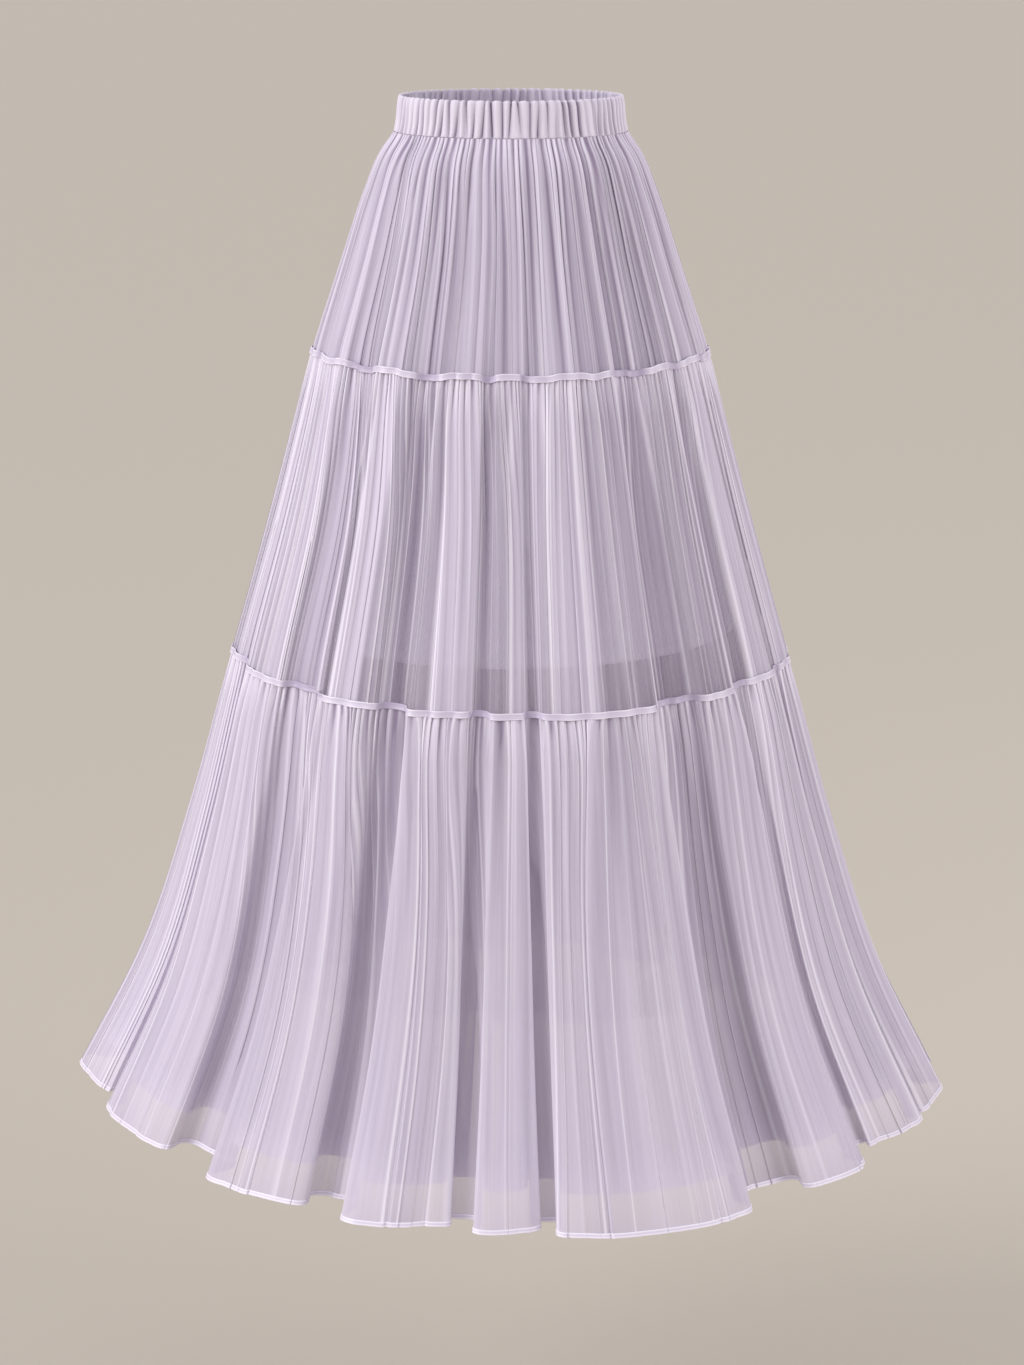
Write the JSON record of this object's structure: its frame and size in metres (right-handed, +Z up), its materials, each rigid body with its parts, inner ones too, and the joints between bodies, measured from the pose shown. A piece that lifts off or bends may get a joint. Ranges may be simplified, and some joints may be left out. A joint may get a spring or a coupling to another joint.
{
  "type": "three-tier gathered tulle maxi skirt",
  "caption": "Long pull-on skirt in gathered sheer tiers, with a gathered elastic waistband, satin ribbon over each seam, bound hem and layers beneath.",
  "frame": {"origin": "centre of the waistband, half way down it, where the wearer's waist holds the skirt up", "axes": "+Z up along the body, -Y the skirt's front, +X the viewer's right when facing the front"},
  "size_m": [0.8763, 0.8186, 0.9891],
  "materials": {
    "waistband_cloth": "matte, gathered",
    "tulle": "sheer, soft sheen",
    "satin": "satin",
    "under_tulle": "sheer, matte",
    "lining_cloth": "smooth, opaque"
  },
  "bodies": {
    "root": {"waistband": "waistband_cloth", "tier_1": "tulle", "ribbon_1": "satin", "tier_2": "tulle", "ribbon_2": "satin", "tier_3": "tulle", "hem_binding": "satin", "underskirt_long": "under_tulle", "underskirt_mid": "under_tulle", "lining": "lining_cloth"}
  },
  "joints": []
}
